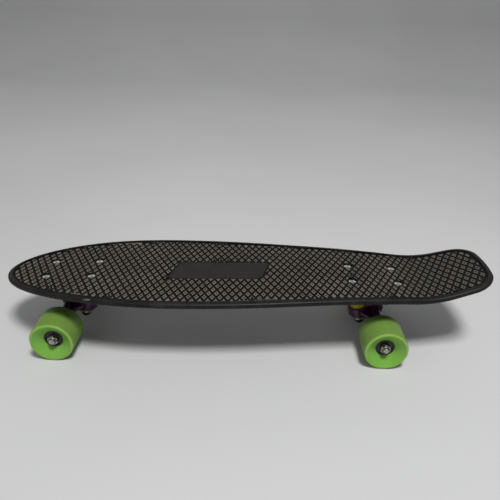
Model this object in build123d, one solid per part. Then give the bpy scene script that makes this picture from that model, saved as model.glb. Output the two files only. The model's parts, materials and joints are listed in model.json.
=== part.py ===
from build123d import *

import os
from math import asin, ceil, cos, hypot, radians, sin, sqrt, tan

# A moulded plastic cruiser skateboard with a kicktail, two steering trucks and four urethane wheels.
# Frame: +X runs from the nose to the tail, +Z is up, and the origin lies on the floor under the middle
# of the deck. All sizes are in millimetres. Each truck is drawn about a point on the floor below its axle,
# with +X pointing inboard, and each wheel about its own centre, with Y as its axle.

# Stance of the whole board
nose_overhang = 79.95
tail_overhang = 145.25
wheel_diameter = 59.0
truck_height = 50.0
boss_height = 14.7

# Deck outline seen from above
deck_length = 673.0
deck_width = 183.8
nose_length = 234.0
side_arc_length = 142.0
taper_angle = 5.9
tail_bow = 6.8
tail_corner_radius = 35.0

# Deck profile seen from the side, with the whole deck leaning up a little towards the tail
deck_lean = 0.48
nose_droop_length = 170.0
nose_droop_radius = 2142.0
rear_droop_length = 133.7
rear_droop_radius = 2304.0
kick_length = 111.8
kick_radius = 157.5
kick_angle = 17.4

# Deck section
rim_height = 7.5
rim_width = 7.0
rim_top_radius = 3.6
rim_bottom_radius = 3.0
floor_depth = 2.4
plate_thickness = 4.2
under_rim_width = 10.0
boss_margin = 5.0
boss_corner_radius = 9.0
boss_draft = 6.0
gusset_thickness = 4.0
gusset_reach = 26.0
gusset_foot = 2.0
gusset_overlap = 4.0

# Waffle grip on the deck's floor: raised diamonds between two sets of crossing grooves
waffle_pitch_x = 30.75
waffle_pitch_y = 54.6
waffle_start = 273.95
waffle_side = -34.8
waffle_height = 1.9
waffle_groove = 1.9
waffle_gutter = 2.6
waffle_root = 1.0
waffle_bolt_room = 6.7
waffle_smallest_pad = 40.0
bare_plate_x = -36.65
bare_plate_y = -1.3
bare_plate_length = 130.0
bare_plate_width = 45.2
bare_plate_skew = 14.2
bare_plate_turn = 1.4

# Truck bolts through the deck
bolt_spacing_x = 63.5
bolt_spacing_y = 41.275
bolt_pattern_inboard = 11.3
bolt_diameter = 4.8
bolt_length = 32.0
bolt_head_diameter = 9.4
bolt_head_below_rim = 1.5
bolt_hole_clearance = 0.3
bolt_nut_across_flats = 9.5
bolt_nut_height = 5.6
cross_recess_width = 1.1
cross_recess_length = 5.0
cross_recess_depth = 1.3

# Nylon collar of every locknut
nut_collar_share = 0.3
nut_collar_ratio = 0.44
thread_fit = 0.05

# Baseplate
baseplate_length = 82.0
baseplate_width = 57.0
baseplate_thickness = 6.0
baseplate_corner_radius = 8.0
baseplate_edge_radius = 1.4
kingpin_boss_radius = 13.2
kingpin_boss_draft = 8.0
pivot_boss_radius = 15.5
pivot_boss_end = 4.0
baseplate_rib_thickness = 10.0
baseplate_rib_depth = 6.0

# Steering geometry: the hanger turns about the line from the pivot to the middle of its ring
ring_inboard = 24.0
ring_drop = 38.5
kingpin_lean = 12.0
pivot_inboard = -9.5
pivot_drop = 13.5

# Kingpin stack, measured along the kingpin
kingpin_diameter = 9.5
kingpin_hole_clearance = 0.2
kingpin_head_across_flats = 14.3
kingpin_head_height = 6.0
kingpin_head_clearance = 0.4
kingpin_seat_thickness = 8.0
kingpin_nut_across_flats = 14.3
kingpin_nut_height = 7.5
kingpin_end = 3.0
ring_thickness = 12.5
ring_radius = 15.0
ring_bore_radius = 7.6
ring_seat_depth = 2.5
bushing_radius = 11.2
bushing_belly = 0.5
bushing_edge_radius = 1.0
bushing_tip_radius = 8.8
boardside_bushing_height = 15.5
roadside_bushing_height = 9.0
cup_washer_thickness = 1.3
cup_washer_lip = 1.5
bushing_washer_clearance = 1.0

# Pivot
pivot_stem_radius = 6.4
pivot_stem_length = 20.0
pivot_root_flare = 2.0
pivot_stem_neck = 7.0
pivot_clearance = 0.3
pivot_cup_radius = 9.4
pivot_cup_floor = 2.2
pivot_cup_mouth = 5.0
pivot_cup_fit = 0.1

# Hanger casting
hanger_width = 101.6
hanger_end_radius = 7.6
hanger_middle_radius = 9.2
hanger_wing_rise = 10.5
hanger_wing_half_thickness = 8.2
hanger_wing_middle = 27.0
hanger_shoulder_rise = 4.4
hanger_shoulder_thickness = 8.0
hanger_shoulder_depth = 8.7
hanger_web_thickness = 14.0
hanger_web_inset = 1.5
hanger_arm_half_width = 30.0
hanger_arm_thickness = 8.0
hanger_bushing_clearance = 1.1
hanger_pivot_gap = 4.5

# Axle and its fasteners
axle_diameter = 7.9
axle_fit = 0.05
axle_end = 1.6
axle_end_chamfer = 0.7
axle_nut_across_flats = 12.7
axle_nut_height = 6.4
speed_washer_thickness = 1.0
speed_washer_radius = 5.8

# Wheel
wheel_width = 45.0
tyre_shoulder_radius = 2.6
tyre_lip_radius = 26.0
tyre_lip_edge_radius = 1.0
core_end_radius = 13.0
core_ridge_radius = 16.5
core_ridge_half_width = 6.0
core_end_lip = 0.8
core_shoulder_radius = 9.2

# Ball bearing, two to a wheel
bearing_outer_diameter = 22.0
bearing_bore = 8.0
bearing_width = 7.0
bearing_gap = 10.0
bearing_fit = 0.03
ball_count = 7
ball_diameter = 3.97
ball_circle_diameter = 15.0
ball_clearance = 0.06
inner_ring_shoulder_radius = 6.25
outer_ring_shoulder_radius = 8.75
shield_seat_radius = 9.5
shield_seat_depth = 0.7
shield_thickness = 0.35
shield_bore_clearance = 0.25
cage_radial_margin = 0.35
cage_start = 0.4
cage_end = 2.6
cage_pocket_clearance = 0.08
spacer_wall = 1.2

# Places worked out from the sizes above
wheel_radius = wheel_diameter / 2
axle_height = wheel_radius
mount_height = axle_height + truck_height
deck_top_height = mount_height + boss_height + plate_thickness + floor_depth
nose_x = -deck_length / 2
tail_x = deck_length / 2
axle_x = {"front": nose_x + nose_overhang, "rear": tail_x - tail_overhang}
inboard = {"front": 1, "rear": -1}
bearing_inner_face = hanger_width / 2 + speed_washer_thickness
wheel_centre = bearing_inner_face + bearing_width + bearing_gap / 2
bearing_outer_face = wheel_centre + bearing_gap / 2 + bearing_width
axle_half_length = bearing_outer_face + speed_washer_thickness + axle_nut_height + axle_end
bolt_rows = [bolt_pattern_inboard - bolt_spacing_x / 2, bolt_pattern_inboard + bolt_spacing_x / 2]
bolt_points = [(x, y) for x in bolt_rows for y in (-bolt_spacing_y / 2, bolt_spacing_y / 2)]
above = 4 * deck_top_height

# Joints of the deck's side profile, from nose to tail
flat_x = nose_x + nose_droop_length
dip_x = tail_x - kick_length
flat_end = dip_x - rear_droop_length
droop = asin(rear_droop_length / rear_droop_radius)
dip_z = deck_top_height - rear_droop_radius * (1 - cos(droop))
kick = radians(kick_angle)
kick_x = dip_x + kick_radius * (sin(kick) + sin(droop))
kick_z = dip_z + kick_radius * (cos(droop) - cos(kick))

# Steering frame in the truck's own plane
lean = radians(kingpin_lean)
ring_centre = Vector(ring_inboard, 0, mount_height - ring_drop)
kingpin_up = Vector(sin(lean), 0, cos(lean))
pivot_point = Vector(pivot_inboard, 0, mount_height - pivot_drop)
steer_axis = (pivot_point - ring_centre).normalized()
kingpin_plane = Plane(origin=ring_centre, x_dir=(cos(lean), 0, -sin(lean)), z_dir=kingpin_up)
pivot_plane = Plane(origin=pivot_point, x_dir=(0, 1, 0), z_dir=steer_axis)

# Heights of the kingpin stack above and below the middle of the hanger's ring
ring_seat = ring_thickness / 2 - ring_seat_depth
boardside_top = ring_seat + boardside_bushing_height
roadside_bottom = ring_seat + roadside_bushing_height
seat_height = boardside_top + cup_washer_thickness
kingpin_head_seat = seat_height + kingpin_seat_thickness
kingpin_nut_seat = roadside_bottom + cup_washer_thickness
kingpin_tip = kingpin_nut_seat + kingpin_nut_height + kingpin_end


def save(node, *pieces):
    """Write one node's solids to its own file."""
    os.makedirs("parts", exist_ok=True)
    solids = [solid for piece in pieces for solid in piece.solids()]
    whole = solids[0] if len(solids) == 1 else Compound(children=solids)
    export_step(whole, f"parts/{node}.step")


def bar(sketch, low, high):
    """A prism on a sketch drawn about Z, from low to high."""
    return extrude(Pos(0, 0, low) * sketch, amount=high - low)


def hexagon(across_flats):
    """The outline of a nut or bolt head."""
    return RegularPolygon(across_flats / 2, 6, major_radius=False)


def section(*points):
    """A closed section drawn as (radius, distance along the axle)."""
    return make_face(Polyline(*points, close=True))


def spun(face):
    """A section turned about the axle."""
    return revolve(face, Axis.Y, 360)


def tube(outer, inner, low, high):
    """A plain tube about the axle."""
    return spun(section((inner, low), (outer, low), (outer, high), (inner, high)))


def both_sides(shape):
    """A piece and its mirror image across the board's middle plane."""
    return [shape, mirror(shape, Plane.XZ)]


def in_truck(end, shape):
    """Carry a piece drawn in the truck's own frame to the front or rear truck."""
    return Pos(axle_x[end], 0, 0) * Rot(0, 0, 0 if inboard[end] > 0 else 180) * shape


# Deck


def deck_top_at(x):
    """Height of the rim's top edge over the floor at a place along the board."""
    climb = x * tan(radians(deck_lean))
    if x < flat_x:
        return climb + deck_top_height - nose_droop_radius + sqrt(nose_droop_radius**2 - (flat_x - x) ** 2)
    if x < flat_end:
        return climb + deck_top_height
    if x < dip_x:
        return climb + deck_top_height - rear_droop_radius + sqrt(rear_droop_radius**2 - (x - flat_end) ** 2)
    if x < kick_x:
        return climb + dip_z + kick_radius * (cos(droop) - cos(asin((x - dip_x) / kick_radius - sin(droop))))
    return climb + kick_z + (x - kick_x) * tan(kick)


def deck_outline(inset):
    """Plan of the deck drawn in by inset: elliptical nose, long side arcs, taper and bowed tail."""
    taper = radians(taper_angle)
    half = deck_width / 2
    wide_x = nose_x + nose_length
    arc_radius = side_arc_length / sin(taper)
    arc_centre = half - arc_radius
    arc_x = wide_x + (arc_radius - inset) * sin(taper)
    arc_y = arc_centre + (arc_radius - inset) * cos(taper)
    corner_x = tail_x - tail_bow - inset
    corner_y = arc_y - (corner_x - arc_x) * tan(taper)
    edges = [EllipticalCenterArc((wide_x, 0), nose_length - inset, half - inset, 90, arc_size=180)]
    for side in (1, -1):
        centre = (wide_x, side * arc_centre)
        edges += CenterArc(centre, arc_radius - inset, side * 90, -side * taper_angle).edges()
        edges += Line((arc_x, side * arc_y), (corner_x, side * corner_y)).edges()
    edges += ThreePointArc((corner_x, corner_y), (tail_x - inset, 0), (corner_x, -corner_y)).edges()
    face = make_face(edges)
    corners = [v for v in face.vertices() if abs(v.X - corner_x) < 0.01]
    return fillet(corners, tail_corner_radius - inset)


def deck_band(top, bottom):
    """The layer of the deck between two depths under its top profile, wider than the board."""
    joints = [nose_x, flat_x, flat_end, dip_x, kick_x, tail_x]
    bent = [True, False, True, True, False]
    edges = []
    for depth in (top, bottom):
        for start, end, curved in zip(joints, joints[1:], bent):
            ends = [(start, deck_top_at(start) - depth), (end, deck_top_at(end) - depth)]
            middle = ((start + end) / 2, deck_top_at((start + end) / 2) - depth)
            edge = ThreePointArc(ends[0], middle, ends[1]) if curved else Line(*ends)
            edges += edge.edges()
    for x in (nose_x, tail_x):
        edges += Line((x, deck_top_at(x) - top), (x, deck_top_at(x) - bottom)).edges()
    return extrude(Plane.XZ * make_face(edges), amount=deck_width, both=True)


def deck_layer(top, bottom, inset):
    """A layer of the deck inside the outline drawn in by inset."""
    return deck_band(top, bottom) & extrude(deck_outline(inset), amount=above)


def rim_edges(solid, depth):
    """The edges of a deck layer that run round its outline at a depth under the top profile."""
    found = []
    for edge in solid.edges():
        point = edge @ 0.5
        run = edge % 0.5
        across = edge.geom_type == GeomType.LINE and abs(run.Y) > 0.99
        if abs(deck_top_at(point.X) - depth - point.Z) < 0.2 and abs(run.Z) < 0.9 and not across:
            found.append(edge)
    return found


def truck_boss():
    """The block under the deck that a baseplate is bolted to, with its draft and its four end gussets."""
    length = baseplate_length + 2 * boss_margin
    width = baseplate_width + 2 * boss_margin
    plan = Pos(bolt_pattern_inboard, 0, mount_height) * RectangleRounded(length, width, boss_corner_radius)
    boss = extrude(plan, amount=deck_top_height - mount_height, taper=-boss_draft)
    root = deck_top_height - floor_depth - plate_thickness
    foot = mount_height + gusset_foot
    for side in (-1, 1):
        edge = bolt_pattern_inboard + side * length / 2
        inner = edge - side * gusset_overlap
        tip = edge + side * gusset_reach
        top = root + plate_thickness
        rib = [(inner, foot), (edge + side, foot), (tip, root), (tip, top), (inner, top)]
        rib_face = Plane.XZ * make_face(Polyline(*rib, close=True))
        gusset = extrude(rib_face, amount=gusset_thickness / 2, both=True)
        boss += [Pos(0, y, 0) * gusset for y in (-bolt_spacing_y / 2, bolt_spacing_y / 2)]
    return boss


def bare_plate():
    """Plan of the smooth slanted plate in the middle of the waffle."""
    half = bare_plate_length / 2
    lean = bare_plate_skew / 2
    side = bare_plate_width / 2
    corners = [(-half - lean, -side), (half - lean, -side), (half + lean, side), (lean - half, side)]
    plate = make_face(Polyline(*corners, close=True))
    return Pos(bare_plate_x, bare_plate_y) * Rot(0, 0, bare_plate_turn) * plate


def waffle_plan():
    """Plan of the bare plate and the raised diamonds round it, clear of the rim and of the bolt heads."""
    plate = bare_plate()
    plan = deck_outline(rim_width + waffle_gutter) - offset(plate, waffle_groove)
    for end in axle_x:
        for x, y in bolt_points:
            plan -= Pos(axle_x[end] + inboard[end] * x, y) * Circle(waffle_bolt_room)
    half_x = waffle_pitch_x / 2
    half_y = waffle_pitch_y / 2
    shrink = 1 - waffle_groove * hypot(half_x, half_y) / (2 * half_x * half_y)
    corners = [(half_x, 0), (0, half_y), (-half_x, 0), (0, -half_y)]
    diamond = scale(make_face(Polyline(*corners, close=True)), shrink)
    pads = []
    for column in range(-ceil(deck_length / half_x), ceil(deck_length / half_x)):
        x = nose_x + waffle_start + column * half_x
        for row in range(-ceil(deck_width / half_y), ceil(deck_width / half_y)):
            y = waffle_side + row * half_y
            if (column + row) % 2 == 0 and nose_x < x < tail_x and abs(y) < deck_width / 2:
                pads += (Pos(x, y) * diamond & plan).faces()
    return [pad for pad in pads if pad.area > waffle_smallest_pad] + plate.faces()


def make_waffle():
    """The bare plate and the raised diamonds of the deck's floor, rooted in it."""
    layer = deck_band(floor_depth - waffle_height, floor_depth + waffle_root)
    return [layer & extrude(pad, amount=above) for pad in waffle_plan()]


def make_deck():
    """The moulded deck: rolled rim, sunk waffle floor, underside panel, truck bosses and bolt holes."""
    underside = floor_depth + plate_thickness
    deck = deck_layer(0, rim_height, 0)
    deck = fillet(rim_edges(deck, 0), rim_top_radius)
    deck = fillet(rim_edges(deck, rim_height), rim_bottom_radius)
    deck -= deck_layer(-rim_height, floor_depth, rim_width)
    deck -= deck_layer(underside, 3 * rim_height, under_rim_width)
    inside = deck_layer(floor_depth + plate_thickness / 2, 4 * rim_height, under_rim_width - 1)
    for end in axle_x:
        deck += in_truck(end, truck_boss()) & inside
    deck += make_waffle()
    hole = bolt_body(deck_top_height, bolt_hole_clearance)
    return deck - [bolt_place(end, x, y) * hole for end in axle_x for x, y in bolt_points]


# Truck bolts and their locknuts


def bolt_place(end, x, y):
    """Where a bolt goes through the deck's floor."""
    along = axle_x[end] + inboard[end] * x
    return Pos(along, y, deck_top_at(along) - floor_depth)


def bolt_body(length, clearance):
    """Shank and countersunk cone of a truck bolt, hanging down from the level of the deck's floor."""
    shank = bolt_diameter / 2 + clearance
    head = bolt_head_diameter / 2 + clearance
    outline = [(0, clearance), (head, clearance)] if clearance else [(0, 0)]
    outline += [(head, 0), (shank, shank - head), (shank, -length), (0, -length)]
    return revolve(Plane.XZ * make_face(Polyline(*outline, close=True)), Axis.Z, 360)


def make_bolt():
    """A raised countersunk bolt with a cross recess."""
    head = bolt_head_diameter / 2
    rise = floor_depth - bolt_head_below_rim
    crown = ThreePointArc((head, 0), (head * 0.7, rise * 0.53), (0, rise))
    dome = make_face([Line((0, 0), (head, 0)), crown, Line((0, rise), (0, 0))])
    bolt = bolt_body(bolt_length, 0) + revolve(Plane.XZ * dome, Axis.Z, 360)
    slot = Rectangle(cross_recess_length, cross_recess_width)
    slot += Rectangle(cross_recess_width, cross_recess_length)
    return bolt - bar(slot, rise - cross_recess_depth, rise + 1)


def make_bolts():
    """All the truck bolts."""
    bolt = make_bolt()
    return [bolt_place(end, x, y) * bolt for end in axle_x for x, y in bolt_points]


def locknut(across_flats, height, bore):
    """A locknut standing on its collar, with its seat at the top."""
    step = height * nut_collar_share
    nut = bar(hexagon(across_flats), step, height) + bar(Circle(across_flats * nut_collar_ratio), 0, step)
    return nut - bar(Circle(bore), -1, height + 1)


def make_bolt_nuts():
    """The locknuts under the baseplates."""
    low = mount_height - baseplate_thickness - bolt_nut_height
    nut = Pos(0, 0, low) * locknut(bolt_nut_across_flats, bolt_nut_height, bolt_diameter / 2 + thread_fit)
    return [Pos(axle_x[end] + inboard[end] * x, y, 0) * nut for end in axle_x for x, y in bolt_points]


# Baseplate, pivot cup and kingpin


def make_baseplate():
    """The cast baseplate: rounded plate, leaning kingpin boss, pivot boss and the rib that ties them."""
    reach = 2 * truck_height
    plate = RectangleRounded(baseplate_length, baseplate_width, baseplate_corner_radius)
    plate = bar(Pos(bolt_pattern_inboard, 0) * plate, mount_height - baseplate_thickness, mount_height)
    plate = fillet(plate.faces().sort_by(Axis.Z)[0].edges(), baseplate_edge_radius)
    post_foot = kingpin_plane.offset(seat_height) * Circle(kingpin_boss_radius)
    post = extrude(post_foot, amount=reach, taper=-kingpin_boss_draft)
    cup_end = pivot_stem_radius + pivot_clearance + pivot_cup_floor
    barrel = bar(Circle(pivot_boss_radius), -pivot_cup_mouth, cup_end + pivot_boss_end)
    rib_low = mount_height - baseplate_thickness - baseplate_rib_depth
    rib_length = ring_inboard - pivot_inboard
    rib = Box(rib_length, baseplate_rib_thickness, reach, align=(Align.MIN, Align.CENTER, Align.MIN))
    bosses = post + pivot_plane.location * barrel + Pos(pivot_inboard, 0, rib_low) * rib
    plate += bosses & Pos(0, 0, mount_height - reach) * Box(4 * reach, 4 * reach, 2 * reach)
    plate -= pivot_plane.location * bar(Circle(pivot_cup_radius + pivot_cup_fit), -reach, cup_end)
    kingpin_hole = bar(Circle(kingpin_diameter / 2 + kingpin_hole_clearance), 0, reach)
    socket = hexagon(kingpin_head_across_flats + 2 * kingpin_head_clearance)
    plate -= kingpin_plane.location * (kingpin_hole + bar(socket, kingpin_head_seat, reach))
    bore = Circle(bolt_diameter / 2 + bolt_hole_clearance)
    return plate - [Pos(x, y, 0) * bar(bore, 0, above) for x, y in bolt_points]


def make_pivot_cup():
    """The urethane cup that the hanger's pivot turns in."""
    socket = pivot_stem_radius + pivot_clearance
    cup = bar(Circle(pivot_cup_radius), -pivot_cup_mouth, socket + pivot_cup_floor)
    cup -= bar(Circle(socket), -2 * pivot_cup_mouth, 0) + Sphere(socket)
    return pivot_plane.location * cup


def make_kingpin():
    """The kingpin bolt, its head let into the baseplate."""
    pin = bar(Circle(kingpin_diameter / 2), -kingpin_tip, kingpin_head_seat)
    pin = chamfer(pin.edges().sort_by(Axis.Z)[0], 1.0)
    top = kingpin_head_seat + kingpin_head_height
    head = bar(hexagon(kingpin_head_across_flats), kingpin_head_seat, top)
    return kingpin_plane.location * (pin + head)


def make_kingpin_nut():
    """The locknut that sets the bushings' squeeze."""
    nut = locknut(kingpin_nut_across_flats, kingpin_nut_height, kingpin_diameter / 2 + thread_fit)
    return kingpin_plane.location * Pos(0, 0, -kingpin_nut_seat - kingpin_nut_height) * nut


# Bushings and cup washers


def bushing(low, high, low_radius, high_radius):
    """A urethane bushing about the kingpin with rounded ends and a slightly swollen side."""
    bore = kingpin_diameter / 2 + kingpin_hole_clearance
    middle = ((low_radius + high_radius) / 2 + bushing_belly, (low + high) / 2)
    edges = [ThreePointArc((low_radius, low), middle, (high_radius, high))]
    edges += Polyline((high_radius, high), (bore, high), (bore, low), (low_radius, low)).edges()
    ring = make_face(edges)
    ring = fillet([v for v in ring.vertices() if v.X > bore + 0.1], bushing_edge_radius)
    return kingpin_plane.location * revolve(Plane.XZ * ring, Axis.Z, 360)


def make_boardside_bushing():
    """The taller barrel bushing between baseplate and hanger."""
    return bushing(ring_seat, boardside_top, bushing_radius, bushing_radius)


def make_roadside_bushing():
    """The shorter tapered bushing between hanger and kingpin nut."""
    return bushing(-roadside_bottom, -ring_seat, bushing_tip_radius, bushing_radius)


def make_cup_washers():
    """The dished washers at both ends of the bushing stack."""
    washers = []
    ends = [(boardside_top, 1, bushing_radius), (-roadside_bottom, -1, bushing_tip_radius)]
    for face, sign, radius in ends:
        inner = radius + bushing_washer_clearance
        outer = inner + cup_washer_thickness
        low, high = sorted((face - sign * cup_washer_lip, face + sign * cup_washer_thickness))
        cup = bar(Circle(outer), low, high)
        cup -= bar(Circle(inner), *sorted((face, face - sign * 2 * cup_washer_lip)))
        cup -= bar(Circle(kingpin_diameter / 2 + kingpin_hole_clearance), -above, above)
        washers.append(kingpin_plane.location * cup)
    return washers


# Hanger


def make_pivot_stem():
    """The flared stem with a ball end that stands in the pivot cup."""
    root = -pivot_stem_length
    radius = pivot_stem_radius
    flare = radius + pivot_root_flare
    edges = Polyline((0, root), (flare, root), (radius, -pivot_stem_neck), (radius, 0)).edges()
    edges += ThreePointArc((radius, 0), (radius * sqrt(0.5), radius * sqrt(0.5)), (0, radius)).edges()
    edges += Line((0, radius), (0, root)).edges()
    return pivot_plane.location * revolve(Plane.XZ * make_face(edges), Axis.Z, 360)


def make_hanger():
    """The cast hanger: swept wings, web, arms, bushing ring and pivot stem, bored for axle and kingpin."""
    half = hanger_width / 2
    middle = hanger_wing_middle
    stations = [
        (-half, 0, hanger_end_radius, hanger_end_radius),
        (-middle, hanger_shoulder_rise, hanger_shoulder_thickness, hanger_shoulder_depth),
        (0, hanger_wing_rise, hanger_wing_half_thickness, hanger_middle_radius),
        (middle, hanger_shoulder_rise, hanger_shoulder_thickness, hanger_shoulder_depth),
        (half, 0, hanger_end_radius, hanger_end_radius),
    ]
    sections = []
    for y, rise, thick, deep in stations:
        plane = Plane(origin=(0, y, axle_height + rise / 2), x_dir=(1, 0, 0), z_dir=(0, 1, 0))
        sections.append(plane * Ellipse(thick, deep + rise / 2))
    body = loft(sections)
    ring = bar(Circle(ring_radius), -ring_thickness / 2, ring_thickness / 2)
    body += kingpin_plane.location * ring
    arm_foot = Plane(origin=(0, 0, axle_height + hanger_wing_rise / 2), x_dir=(0, 1, 0), z_dir=(1, 0, 0))
    arm_head = Plane(origin=ring_centre, x_dir=(0, 1, 0), z_dir=(cos(lean), 0, -sin(lean)))
    arm = [arm_foot * SlotOverall(2 * hanger_arm_half_width, hanger_arm_thickness)]
    arm += [arm_head * SlotOverall(2 * ring_radius - 1, hanger_arm_thickness)]
    body += loft(arm)
    body += make_pivot_stem()
    gap = pivot_cup_mouth + hanger_pivot_gap
    edge = ring_radius - hanger_bushing_clearance
    foot = hanger_wing_half_thickness - hanger_web_inset
    root = ring_thickness / 2 - hanger_web_inset
    web = [Vector(-foot, 0, axle_height)]
    shoulder = pivot_boss_radius - hanger_web_inset
    web += [pivot_plane.from_local_coords((0, low, -gap)) for low in (shoulder, hanger_web_inset)]
    web += [kingpin_plane.from_local_coords((-edge, 0, height)) for height in (root, -root)]
    web += [Vector(foot, 0, axle_height)]
    body += extrude(make_face(Polyline(*web, close=True)), amount=hanger_web_thickness / 2, both=True)
    clear = bushing_radius + hanger_bushing_clearance
    room = bar(Circle(clear), ring_seat, 3 * ring_radius) + bar(Circle(clear), -3 * ring_radius, -ring_seat)
    room += bar(Circle(ring_bore_radius), -ring_radius, ring_radius)
    body -= kingpin_plane.location * room
    axle_bore = Pos(0, 0, axle_height) * tube(axle_diameter / 2 + axle_fit, 0, -hanger_width, hanger_width)
    return body - axle_bore


# Axle and its fasteners


def make_axle():
    """The steel axle through the hanger."""
    rod = tube(axle_diameter / 2, 0, -axle_half_length, axle_half_length)
    rod = chamfer(rod.edges().filter_by(GeomType.CIRCLE), axle_end_chamfer)
    return Pos(0, 0, axle_height) * rod


def make_axle_nuts():
    """The locknuts that hold the wheels on."""
    high = bearing_outer_face + speed_washer_thickness + axle_nut_height
    nut = locknut(axle_nut_across_flats, axle_nut_height, axle_diameter / 2 + thread_fit)
    return both_sides(Pos(0, high, axle_height) * Rot(90, 0, 0) * nut)


def make_speed_washers():
    """The thin washers on both faces of each pair of bearings."""
    washers = []
    for low in (hanger_width / 2, bearing_outer_face):
        washer = tube(speed_washer_radius, axle_diameter / 2 + axle_fit, low, low + speed_washer_thickness)
        washers += both_sides(Pos(0, 0, axle_height) * washer)
    return washers


# Wheel


def make_tyre():
    """The urethane tyre, dished on both faces and cast round the core."""
    half = wheel_width / 2
    hub = bearing_gap / 2 + bearing_width + core_end_lip
    face = section(
        (core_end_radius, hub),
        (tyre_lip_radius, half),
        (wheel_radius, half),
        (wheel_radius, -half),
        (tyre_lip_radius, -half),
        (core_end_radius, -hub),
        (core_end_radius, -core_ridge_half_width),
        (core_ridge_radius, -core_ridge_half_width),
        (core_ridge_radius, core_ridge_half_width),
        (core_end_radius, core_ridge_half_width),
    )
    face = fillet([v for v in face.vertices() if v.X > wheel_radius - 0.01], tyre_shoulder_radius)
    face = fillet([v for v in face.vertices() if abs(v.X - tyre_lip_radius) < 0.01], tyre_lip_edge_radius)
    return spun(face)


def make_core():
    """The rigid core with a bearing seat in each end."""
    seat = bearing_outer_diameter / 2 + bearing_fit
    stop = bearing_gap / 2
    hub = stop + bearing_width + core_end_lip
    return spun(
        section(
            (seat, hub),
            (core_end_radius, hub),
            (core_end_radius, core_ridge_half_width),
            (core_ridge_radius, core_ridge_half_width),
            (core_ridge_radius, -core_ridge_half_width),
            (core_end_radius, -core_ridge_half_width),
            (core_end_radius, -hub),
            (seat, -hub),
            (seat, -stop),
            (core_shoulder_radius, -stop),
            (core_shoulder_radius, stop),
            (seat, stop),
        )
    )


# Bearings


def in_bearings(*pieces):
    """Put pieces drawn about one bearing's middle into both bearings of a wheel."""
    offset = (bearing_gap + bearing_width) / 2
    near = [Pos(0, offset, 0) * piece for piece in pieces]
    return near + [mirror(piece, Plane.XZ) for piece in near]


def race_groove():
    """Section of the groove that the balls run in."""
    return Pos(ball_circle_diameter / 2, 0) * Circle(ball_diameter / 2 + ball_clearance)


def make_outer_ring():
    """Outer ring with its groove and the seats of the shields."""
    rim = bearing_outer_diameter / 2
    half = bearing_width / 2
    seat = half - shield_seat_depth
    corners = [(rim, -half), (rim, half), (shield_seat_radius, half), (shield_seat_radius, seat)]
    corners += [(outer_ring_shoulder_radius, seat), (outer_ring_shoulder_radius, -seat)]
    corners += [(shield_seat_radius, -seat), (shield_seat_radius, -half)]
    return spun(section(*corners) - race_groove())


def make_inner_ring():
    """Inner ring with its groove."""
    bore = bearing_bore / 2
    half = bearing_width / 2
    shoulder = inner_ring_shoulder_radius
    ring = section((bore, -half), (shoulder, -half), (shoulder, half), (bore, half))
    return spun(ring - race_groove())


def make_shields():
    """The two pressed shields of one bearing."""
    low = bearing_width / 2 - shield_seat_depth
    bore = inner_ring_shoulder_radius + shield_bore_clearance
    shield = tube(shield_seat_radius - bearing_fit, bore, low, low + shield_thickness)
    return [shield, mirror(shield, Plane.XZ)]


def ball_places():
    """Where the balls of one bearing sit."""
    radius = ball_circle_diameter / 2
    return [Rot(0, 360 * i / ball_count, 0) * Pos(radius, 0, 0) for i in range(ball_count)]


def make_cage():
    """The crown cage that keeps the balls apart."""
    inner = inner_ring_shoulder_radius + cage_radial_margin
    outer = outer_ring_shoulder_radius - cage_radial_margin
    pocket = Sphere(ball_diameter / 2 + cage_pocket_clearance)
    return tube(outer, inner, cage_start, cage_end) - [place * pocket for place in ball_places()]


def make_spacer():
    """The tube that keeps the inner rings apart."""
    bore = axle_diameter / 2 + axle_fit
    return tube(bore + spacer_wall, bore, -bearing_gap / 2, bearing_gap / 2)


# Assembly
save("deck", make_deck())
save("truck_bolts", *make_bolts())
save("truck_bolt_nuts", *make_bolt_nuts())

truck_nodes = {
    "baseplate": [make_baseplate()],
    "pivot_cup": [make_pivot_cup()],
    "kingpin": [make_kingpin()],
    "kingpin_nut": [make_kingpin_nut()],
    "boardside_bushing": [make_boardside_bushing()],
    "roadside_bushing": [make_roadside_bushing()],
    "cup_washers": make_cup_washers(),
    "hanger": [make_hanger()],
    "axle": [make_axle()],
    "axle_nuts": make_axle_nuts(),
    "speed_washers": make_speed_washers(),
}
for end in axle_x:
    for node, pieces in truck_nodes.items():
        save(f"{end}_{node}", *[in_truck(end, piece) for piece in pieces])

wheel_nodes = {
    "tyre": [make_tyre()],
    "core": [make_core()],
    "outer_rings": in_bearings(make_outer_ring()),
    "inner_rings": in_bearings(make_inner_ring()),
    "shields": in_bearings(*make_shields()),
    "balls": in_bearings(*[place * Sphere(ball_diameter / 2) for place in ball_places()]),
    "cages": in_bearings(make_cage()),
    "spacer": [make_spacer()],
}
for end in axle_x:
    for hand, side in (("left", -1), ("right", 1)):
        place = Pos(axle_x[end], side * wheel_centre, axle_height)
        for node, pieces in wheel_nodes.items():
            save(f"{end}_{hand}_{node}", *[place * piece for piece in pieces])
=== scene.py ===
import bisect
import json
import math
import random

import bmesh
import bpy
from mathutils import Matrix, Vector, geometry


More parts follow.
